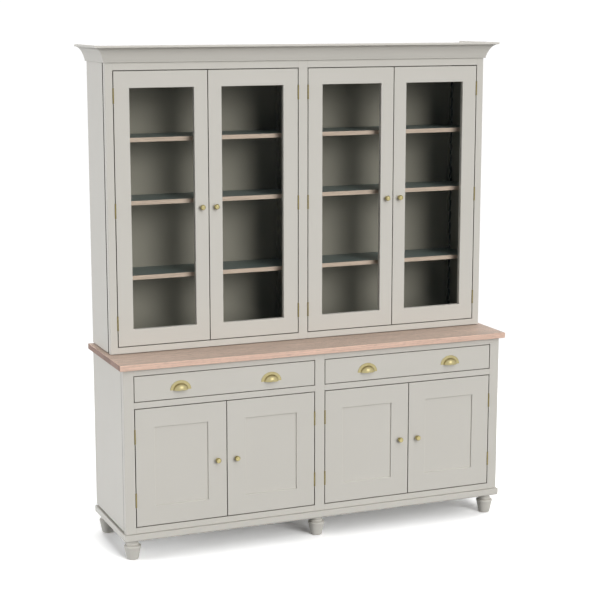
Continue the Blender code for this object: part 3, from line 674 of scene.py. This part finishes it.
def add_ring(shape, section, sight, outside=None):
    """Sweep a section round an opening, mitred at its corners.

    The section's pairs are the distance outwards from the sight line and the depth. A distance
    of None stands for the outside edge of the frame.
    """
    (left, bottom), (right, top) = sight
    made = bmesh.new()
    loops = []
    for x, z, across, up in ((left, bottom, -1, -1), (right, bottom, 1, -1), (right, top, 1, 1),
                             (left, top, -1, 1)):
        corner = []
        for out, depth in section:
            if out is None:
                side, level = outside[max(across, 0)].x, outside[max(up, 0)].z
            else:
                side, level = x + across * out, z + up * out
            corner.append(made.verts.new((side, depth, level)))
        loops.append(corner)
    for number, start in enumerate(loops):
        end = loops[(number + 1) % len(loops)]
        for index, point in enumerate(start):
            following = (index + 1) % len(start)
            made.faces.new((point, start[following], end[following], end[index]))
    bmesh.ops.recalc_face_normals(made, faces=made.faces)
    add_shape(shape, made)


def door_section(fill, front, back, fill_front, fill_back):
    """Return the section of a door's frame, with a groove for a panel or a rebate for a pane."""
    section = [(None, front), (SIGHT_EDGE, front), (0, front + SIGHT_EDGE), (0, fill_front),
               (FILL_HOLD, fill_front)]
    if fill == "panel":
        return section + [(FILL_HOLD, fill_back), (0, fill_back), (0, back), (None, back)]
    return section + [(FILL_HOLD, back), (None, back)]


def make_members(name, section, low, high, sight):
    """Make a door's frame: stiles run through, rails stand between them."""
    (left, _), (right, _) = sight
    shape = bmesh.new()
    add_ring(shape, section, sight, (low, high))
    for edge, normal in ((left, -1), (right, 1)):
        bmesh.ops.bisect_plane(shape, geom=[*shape.verts, *shape.edges, *shape.faces],
                               dist=WELD, plane_co=(edge, 0, 0), plane_no=(normal, 0, 0))
    for face in shape.faces:
        middle = face.calc_center_median()
        rim = min(abs(middle.x - low.x), abs(middle.x - high.x), abs(middle.z - low.z),
                  abs(middle.z - high.z))
        # The door's outer edges along its gaps get painted shade
        if rim < WELD:
            face.material_index = SHADED_EDGE
        else:
            face.material_index = RAIL if left < middle.x < right else UPRIGHT
    bmesh.ops.dissolve_limit(shape, angle_limit=FLAT_ANGLE, verts=shape.verts,
                             edges=shape.edges, delimit={"MATERIAL"})
    round_edges(shape, MEMBER_EDGE)
    finish_piece(name + "_members", shape, name, FRAME_FINISHES[:TONGUE],
                 [name + "_frame"])


def make_beads(name, sight, front, back):
    """Make the mitred beads that hold a pane in its rebate, rounded on the inside."""
    top = back - BEAD_SHY
    section = [(0, front), (FILL_HOLD, front), (FILL_HOLD, top)]
    section += [(BEAD_ROUND * (1 - math.sin(angle)), top - BEAD_ROUND * (1 - math.cos(angle)))
                for angle in quarter(BEAD_STEPS)]
    shape = bmesh.new()
    add_ring(shape, section, sight)
    finish_piece(name + "_glazing_beads", shape, name, [PAINT["z"]])


def make_door(cabinet, label, place):
    """Make a door: its frame, and its panel or its pane and beads. Return the frame's corners."""
    name = f"{cabinet}_door_{label}_{place}"
    fill = FILLS[cabinet]
    low, high, sight = door_box(name, fill)
    fill_low, fill_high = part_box(f"{name}_{fill}")
    advance = PANEL_ADVANCE if fill == "panel" else 0
    section = door_section(fill, low.y, high.y, fill_low.y - advance, fill_high.y)
    make_members(name, section, low, high, sight)
    if fill == "panel":
        dress(f"{name}_panel", [PAINT["z"]], setback=-advance)
    else:
        make_beads(name, sight, fill_high.y, high.y)
        pane = frame["nodes"][f"{name}_glass"]
        pane.data.materials.clear()
        pane.data.materials.append(GLASS)
    return low, high


def add_tongues(shape, cabinet, back):
    """Add the tongues that close the shadow gaps between a face frame and the sides, in the near-black painted
    shadow.
    """
    for label, side in BAYS.items():
        low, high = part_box(f"{cabinet}_side_{label}")
        outer, inner = (low.x, high.x) if side < 0 else (high.x, low.x)
        left, right = sorted((outer - side * TONGUE_SHY, inner))
        add_bar(shape, (left, back - WELD, low.z + SIDE_QUIRKS[cabinet]),
                (right, low.y + SIDE_SETBACKS[cabinet] + WELD, high.z), WELD, TONGUE)


def make_face_frame(cabinet, openings, levels):
    """Make a face frame's uprights and rails round its openings."""
    node = cabinet + "_face_frame"
    low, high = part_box(node)
    low.z += FRAME_QUIRKS[cabinet]
    shape = bmesh.new()
    lefts = [low.x] + [right for _, right in openings]
    rights = [left for left, _ in openings] + [high.x]
    for left, right in zip(lefts, rights):
        add_bar(shape, (left, low.y, low.z), (right, high.y, high.z), finish=UPRIGHT)
    bottoms = [low.z] + [top for _, top in levels]
    tops = [bottom for bottom, _ in levels] + [high.z]
    for left, right in openings:
        for bottom, top in zip(bottoms, tops):
            add_bar(shape, (left, low.y, bottom), (right, high.y, top), finish=RAIL)
    add_tongues(shape, cabinet, high.y)
    shape.normal_update()
    for face in shape.faces:
        middle = face.calc_center_median()
        outside = min(middle.x - low.x, high.x - middle.x, high.z - middle.z) < WELD
        # The edges round the openings get painted shade
        if face.material_index != TONGUE and abs(face.normal.y) < FACING and not outside:
            face.material_index = SHADED_EDGE
    finish_piece(node + "_members", shape, "carcass", FRAME_FINISHES, [node])


def tail_levels(bottom, top):
    """Return the lower and upper level of each dovetail on the end of a drawer's side."""
    pitch = (top - bottom - PIN_WIDTH) / TAIL_COUNT
    return [(bottom + PIN_WIDTH + pitch * number, bottom + pitch * (number + 1))
            for number in range(TAIL_COUNT)]


def drawer_side_outline(front, back, bottom, top):
    """Return the outline of a drawer's side as pairs of depth and level, with its tails."""
    front_root, back_root = front + DRAWER_WALL, back - DRAWER_WALL
    outline = [(front_root, bottom), (back_root, bottom)]
    for low, high in tail_levels(bottom, top):
        outline += [(back_root, low), (back, low - TAIL_FLARE), (back, high + TAIL_FLARE),
                    (back_root, high)]
    outline += [(back_root, top), (front_root, top)]
    for low, high in reversed(tail_levels(bottom, top)):
        outline += [(front_root, high), (front, high + TAIL_FLARE), (front, low - TAIL_FLARE),
                    (front_root, low)]
    return outline


def pin_outlines(end, root, bottom, top):
    """Return the outline of each pin, which fills the room beside or between the tails."""
    tails = tail_levels(bottom, top)
    lows = [bottom] + [high for _, high in tails]
    highs = [low for low, _ in tails] + [top]
    outlines = []
    for number, (low, high) in enumerate(zip(lows, highs)):
        narrow_low = low if number == 0 else low + TAIL_FLARE
        narrow_high = high if number == TAIL_COUNT else high - TAIL_FLARE
        outlines.append([(root, low), (end, narrow_low), (end, narrow_high), (root, high)])
    return outlines


def add_prism(shape, outline, left, right, finish):
    """Add a prism along X on an outline of depth and level."""
    prism = bmesh.new()
    add_loft(prism, [[(x, depth, level) for depth, level in outline] for x in (left, right)])
    round_edges(prism, DOVETAIL_EDGE)
    for face in prism.faces:
        face.material_index = finish
    add_shape(shape, prism)


def make_drawer_box(label):
    """Make a dovetailed drawer box: sides with tails, front and back with pins, a thin bottom."""
    node = f"drawer_{label}_box"
    low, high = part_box(node)
    shape = bmesh.new()
    inner_low, inner_high = low.x + DRAWER_WALL, high.x - DRAWER_WALL
    front_root, back_root = low.y + DRAWER_WALL, high.y - DRAWER_WALL
    for left, right in ((low.x, inner_low), (inner_high, high.x)):
        outline = drawer_side_outline(low.y, high.y, low.z, high.z)
        add_prism(shape, outline, left, right, ALONG_DRAWER)
        for end, root in ((low.y, front_root), (high.y, back_root)):
            for outline in pin_outlines(end, root, low.z, high.z):
                add_prism(shape, outline, left, right, END_GRAIN)
    for front, back in ((low.y, front_root), (back_root, high.y)):
        add_bar(shape, (inner_low, front, low.z), (inner_high, back, high.z), BOARD_EDGE,
                ACROSS_DRAWER)
    base = low.z + DRAWER_BOTTOM_LIFT
    add_bar(shape, (inner_low - WELD, front_root - WELD, base),
            (inner_high + WELD, back_root + WELD, base + DRAWER_BOTTOM_THICKNESS), WELD,
            ACROSS_DRAWER)
    finish_piece(node + "_dovetailed", shape, f"drawer_{label}", DRAWER_FINISHES,
                 [node])


def make_front_screws(label):
    """Make the screws that hold a drawer's front, with their heads inside the box."""
    node = f"drawer_{label}_box"
    low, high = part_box(node)
    size = high - low
    screws = bmesh.new()
    for across in FRONT_SCREW_SHARES:
        for up in FRONT_SCREW_LEVELS:
            seat = (low.x + size.x * across, low.y + DRAWER_WALL, low.z + size.z * up)
            add_screw(screws, seat, Vector((0, 1, 0)), FRONT_SCREW_RADIUS, FRONT_SCREW_RISE)
    finish_piece(node + "_front_screws", screws, f"drawer_{label}", [BRASS])


def add_screw(shape, seat, outward, radius, rise):
    """Add a domed screw head with its slot, seated on a face that looks outward."""
    head = bmesh.new()
    dome = [(radius * math.cos(angle), rise * math.sin(angle))
            for angle in quarter(SCREW_DOME_STEPS)[:-1]]
    add_turning(head, [(radius, -rise), *dome], SCREW_SEGMENTS, lambda *point: point)
    half_slot = radius * SCREW_SLOT_SHARE
    for cut in (-half_slot - WELD, -half_slot, half_slot, half_slot + WELD):
        bmesh.ops.bisect_plane(head, geom=[*head.verts, *head.edges, *head.faces], dist=0,
                               plane_co=(0, cut, 0), plane_no=(0, 1, 0))
    for vertex in head.verts:
        if abs(vertex.co.y) < half_slot + WELD / 2 and vertex.co.z > 0:
            vertex.co.z = 0
    turn = outward.to_track_quat("Z", "Y").to_matrix().to_4x4()
    bmesh.ops.transform(head, matrix=Matrix.Translation(seat) @ turn, verts=head.verts)
    add_shape(shape, head)


def make_fronts():
    """Make the doors, the face frames round them, the drawer fronts and their boxes."""
    gap = DOOR_GAP + 2 * GAP_EASE
    for cabinet in FILLS:
        bays = [[make_door(cabinet, label, place) for place in PLACES] for label in BAYS]
        openings = [(min(low.x for low, _ in doors) - gap, max(high.x for _, high in doors) + gap)
                    for doors in bays]
        low, high = bays[0][0]
        levels = [(low.z - gap, high.z + gap)]
        if cabinet == "base":
            low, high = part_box("drawer_left_front")
            levels.append((low.z - DOOR_GAP - GAP_EASE, high.z + DOOR_GAP + GAP_EASE))
        make_face_frame(cabinet, openings, levels)
    for label in BAYS:
        # The drawer front's edges along its gaps get the dark inside paint as painted shade
        dress(f"drawer_{label}_front", [PAINT["x"], INSIDE_AND_GAP_SHADE],
              lambda face: int(abs(face.normal.y) < FACING))
        make_drawer_box(label)
        make_front_screws(label)


def make_feet():
    """Turn the feet with a finer profile."""
    shares = smooth_line(FOOT_PROFILE_SHARES, PROFILE_STEPS)
    for row in ("front", "back"):
        for column in ("left", "middle", "right"):
            node = f"foot_{row}_{column}"
            low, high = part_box(node)
            middle, radius, height = (low + high) / 2, (high.x - low.x) / 2, high.z - low.z
            profile = [(radius * width, height * rise) for width, rise in shares]
            shape = bmesh.new()
            add_turning(shape, profile, FOOT_SEGMENTS, lambda across, back, rise: (
                middle.x + across, middle.y + back, low.z + rise))
            finish_piece(node + "_turned", shape, "carcass", [PAINT["z"]], [node])


def make_knob(name, body):
    """Turn a round brass knob, with darker brass on its flanks as painted shade."""
    low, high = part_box(name)
    middle, radius, length = (low + high) / 2, (high.x - low.x) / 2, high.y - low.y
    profile = [(radius * width, length * reach)
               for width, reach in smooth_line(KNOB_PROFILE_SHARES, PROFILE_STEPS)]
    shape = bmesh.new()
    add_turning(shape, profile, KNOB_SEGMENTS, lambda across, up, reach: (
        middle.x + across, high.y - reach, middle.z + up))
    shape.normal_update()
    for face in shape.faces:
        face.material_index = int(-face.normal.y < KNOB_CROWN)
    finish_piece(name + "_turned", shape, body, [KNOB_BRASS, KNOB_FLANK_SHADE], [name])


def cup_section(height, depth):
    """Return the pull's section as pairs of radius and forward reach, from its back edge."""
    bowl = height * CUP_BOWL_SHARE
    inner = bowl - CUP_WALL
    edge = CUP_FLANGE_THICKNESS / 2
    foot = CUP_FLANGE_THICKNESS + CUP_FILLET
    section = [(height, 0)]
    section += [(height - edge + edge * math.cos(angle), edge + edge * math.sin(angle))
                for angle in quarter(ARC_STEPS)]
    section += [(bowl + CUP_FILLET * (1 - math.sin(angle)), foot - CUP_FILLET * math.cos(angle))
                for angle in quarter(ARC_STEPS)]
    section += [(bowl * math.cos(angle), foot + (depth - foot) * math.sin(angle))
                for angle in quarter(CUP_BOWL_STEPS)[1:-1]]
    section += [(inner * math.cos(angle), (depth - CUP_WALL) * math.sin(angle))
                for angle in reversed(quarter(CUP_BOWL_STEPS)[:-1])]
    return section


def make_pull(name, body):
    """Sweep a cup pull's section round half an ellipse."""
    low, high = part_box(name)
    height, depth, middle = high.z - low.z, high.y - low.y, (low.x + high.x) / 2
    width_share = (high.x - low.x) / 2 / height
    section = cup_section(height, depth)
    rings = []
    for step in range(CUP_SWEEP_STEPS + 1):
        angle = math.pi * step / CUP_SWEEP_STEPS
        rings.append([(middle + width_share * radius * math.cos(angle), high.y - reach,
                       low.z + radius * math.sin(angle)) for radius, reach in section])
    shape = bmesh.new()
    add_loft(shape, rings, smooth=True)
    finish_piece(name + "_shaped", shape, body, [BRASS], [name])


def make_handles():
    """Make all knobs and cup pulls."""
    for label in BAYS:
        for place in PLACES:
            for cabinet in FILLS:
                body = f"{cabinet}_door_{label}_{place}"
                make_knob(body + "_knob", body)
        for place in ("left", "right"):
            make_pull(f"drawer_{label}_pull_{place}", f"drawer_{label}")


def hinge_levels(low, high, cabinet):
    """Return the height of the middle of each hinge of a door."""
    end_distance, count = HINGE_SETS[cabinet]
    first, last = low + end_distance, high - end_distance
    return [first + (last - first) * step / (count - 1) for step in range(count)]


def add_barrel(shape, axis, level):
    """Add a hinge's barrel: knuckles with fine grooves between them."""
    knuckle = HINGE_HEIGHT / HINGE_KNUCKLES
    waist = HINGE_RADIUS - HINGE_GROOVE
    bottom = level - HINGE_HEIGHT / 2
    profile = [(waist, bottom)]
    for _ in range(HINGE_KNUCKLES):
        top = bottom + knuckle
        profile += [(HINGE_RADIUS, bottom + HINGE_GROOVE / 2),
                    (HINGE_RADIUS, top - HINGE_GROOVE / 2), (waist, top)]
        bottom = top
    add_turning(shape, profile, HINGE_SEGMENTS, lambda across, back, height: (
        axis.x + across, axis.y + back, height))


def add_leaf(shape, side, face, front, level):
    """Add a hinge's leaf, let into the face at a gap, with its screws."""
    shown = face - side * HINGE_LEAF_PROUD
    left, right = sorted((shown, face + side * HINGE_LEAF_SUNK))
    add_bar(shape, (left, front, level - HINGE_HEIGHT / 2),
            (right, front + HINGE_LEAF, level + HINGE_HEIGHT / 2), HINGE_LEAF_PROUD / 2)
    for pitches in (-1, 0, 1):
        seat = (shown, front + HINGE_LEAF / 2, level + pitches * HINGE_SCREW_PITCH)
        add_screw(shape, seat, Vector((-side, 0, 0)), HINGE_SCREW_RADIUS, HINGE_SCREW_RISE)


def make_door_hinges(cabinet, body):
    """Make a door's hinges: barrels and door leaves ride on the door, frame leaves stay."""
    low, high, _ = door_box(body, FILLS[cabinet])
    axis = Vector(JOINTS[body + "_hinge"]["pos_m"])
    inward = 1 if axis.x < (low.x + high.x) / 2 else -1
    moving, still = bmesh.new(), bmesh.new()
    for level in hinge_levels(low.z, high.z, cabinet):
        add_barrel(moving, axis, level)
        for shape, side in ((moving, inward), (still, -inward)):
            add_leaf(shape, side, axis.x + side * DOOR_GAP / 2, low.y, level)
    finish_piece(body + "_hinges", moving, body, [HINGE_GAP_SHADE_BRASS])
    finish_piece(body + "_hinge_leaves", still, "carcass", [HINGE_GAP_SHADE_BRASS])


def make_hinges():
    """Make the hinges of all doors."""
    for cabinet in FILLS:
        for label in BAYS:
            for place in PLACES:
                make_door_hinges(cabinet, f"{cabinet}_door_{label}_{place}")


def cornice_section(height):
    """Return the cornice's section as pairs of outward reach and height above its bottom."""
    bead, start = CORNICE_BEAD_ROUND, CORNICE_COVE_START
    cove_low, cove_high = CORNICE_BEAD_HEIGHT + bead / 2, height - CORNICE_FILLET
    cove_inner, cove_outer = CORNICE_BEAD_PROUD + bead / 2, CORNICE_PROUD - bead
    section = [(0, 0)]
    section += [(CORNICE_BEAD_PROUD - bead * (1 - math.sin(angle)), bead * (1 - math.cos(angle)))
                for angle in quarter(ARC_STEPS)]
    section.append((CORNICE_BEAD_PROUD, CORNICE_BEAD_HEIGHT))
    for angle in quarter(CORNICE_COVE_STEPS, start):
        out_share = 1 - math.cos(angle) / math.cos(start)
        up_share = (math.sin(angle) - math.sin(start)) / (1 - math.sin(start))
        section.append((cove_inner + (cove_outer - cove_inner) * out_share,
                        cove_low + (cove_high - cove_low) * up_share))
    section += [(CORNICE_PROUD, cove_high), (CORNICE_PROUD, height - CORNICE_EDGE),
                (CORNICE_PROUD - CORNICE_EDGE, height),
                (CORNICE_PROUD - CORNICE_THICKNESS, height), (0, CORNICE_LAP)]
    return section


def make_cornice():
    """Run the cornice's section round the left, front and right of the rack."""
    low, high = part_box("cornice")
    half, front = high.x - CORNICE_PROUD, low.y + CORNICE_PROUD
    section = cornice_section(high.z - low.z)
    stations = []
    for side in (-1, 1):
        end = [(side * (half + reach), high.y, low.z + rise) for reach, rise in section]
        corner = [(side * (half + reach), front - reach, low.z + rise) for reach, rise in section]
        stations += [end, corner] if side < 0 else [corner, end]
    shape = bmesh.new()
    add_loft(shape, stations, smooth=True)
    for face in shape.faces:
        face.material_index = int(abs(face.calc_center_median().x) > half)
    finish_piece("cornice_moulding", shape, "carcass", [PAINT["x"], PAINT["y"]],
                 ["cornice"])


def make_floor():
    """Lay the pale studio floor: it keeps the dresser's shadow and goes white around it."""
    finish = Finish("studio_floor")
    bounce = finish.shade("ShaderNodeBsdfDiffuse", Color=grey(FLOOR_BOUNCE))
    shown = finish.shade("ShaderNodeBsdfDiffuse", Color=grey(FLOOR_SHOWN))
    lift = finish.shade("ShaderNodeEmission", Color=grey(1), Strength=FLOOR_LIFT)
    white = finish.shade("ShaderNodeEmission", Color=grey(1), Strength=WHITE_LEVEL)
    near = finish.add("ShaderNodeAddShader", {0: shown, 1: lift}).outputs[0]
    distance = finish.add("ShaderNodeVectorMath", {0: finish.place()}, operation="LENGTH")
    seen = finish.mix(finish.spread(distance.outputs["Value"], FLOOR_FADE), near, white)
    surface = finish.mix(finish.seen_or_mirrored(), bounce, seen)
    finish.tree.nodes.remove(finish.shader)
    output = finish.tree.nodes["Material Output"]
    finish.tree.links.new(surface, output.inputs["Surface"])
    mesh = bpy.data.meshes.new("studio_floor")
    mesh.from_pydata([(FLOOR_REACH * across, FLOOR_REACH * back, 0)
                      for across, back in ((-1, -1), (1, -1), (1, 1), (-1, 1))], [],
                     [(0, 1, 2, 3)])
    mesh.materials.append(finish.material)
    floor = new_object("studio_floor", mesh)


def make_world():
    """Light the studio faintly all round, and show it white to the camera and in gloss."""
    world = bpy.data.worlds.new("studio")
    bpy.context.scene.world = world
    world.use_nodes = True
    world.node_tree.nodes.clear()
    nodes = Nodes(world.node_tree)
    soft = nodes.shade("ShaderNodeBackground", Color=grey(1), Strength=WORLD_LIGHT)
    white = nodes.shade("ShaderNodeBackground", Color=grey(1), Strength=WHITE_LEVEL)
    shown = nodes.mix(nodes.seen_or_mirrored(), soft, white)
    nodes.add("ShaderNodeOutputWorld", {"Surface": shown})


def make_lamp(name, azimuth, elevation, spread, level, colour, mirrored):
    """Shine a far soft lamp on the dresser.

    Azimuth runs from the front towards the right, and spread is how wide the lamp looks. A
    level of 1 shows a white face that looks at the lamp as white.
    """
    light = bpy.data.lights.new(name, "SUN")
    light.angle = math.radians(spread)
    light.energy = level * math.pi
    light.color = colour
    lamp = new_object(name, light)
    turn, rise = math.radians(azimuth), math.radians(elevation)
    towards = Vector((math.sin(turn) * math.cos(rise), -math.cos(turn) * math.cos(rise),
                      math.sin(rise)))
    lamp.location = LAMP_DISTANCE * towards
    lamp.rotation_euler = (-towards).to_track_quat("-Z", "Y").to_euler()
    lamp.visible_glossy = mirrored


def make_camera():
    """Set the camera where the photograph was taken."""
    camera = new_object("camera", bpy.data.cameras.new("camera"))
    camera.location = CAMERA_PLACE
    camera.rotation_euler = (math.pi / 2 + CAMERA_PITCH, 0, -CAMERA_YAW)
    camera.data.sensor_width = SENSOR_WIDTH
    camera.data.lens = SENSOR_WIDTH * FOCAL_LENGTH / PICTURE_WIDTH
    bpy.context.scene.camera = camera


def make_studio():
    """Set up camera, floor, lamps and world."""
    make_camera()
    make_floor()
    make_world()
    for lamp in LAMPS:
        make_lamp(*lamp)
    bpy.context.scene.view_settings.view_transform = "Standard"


make_boards()
make_worktop()
make_shelves()
make_plinth()
make_fronts()
make_feet()
make_handles()
make_hinges()
make_cornice()
make_studio()
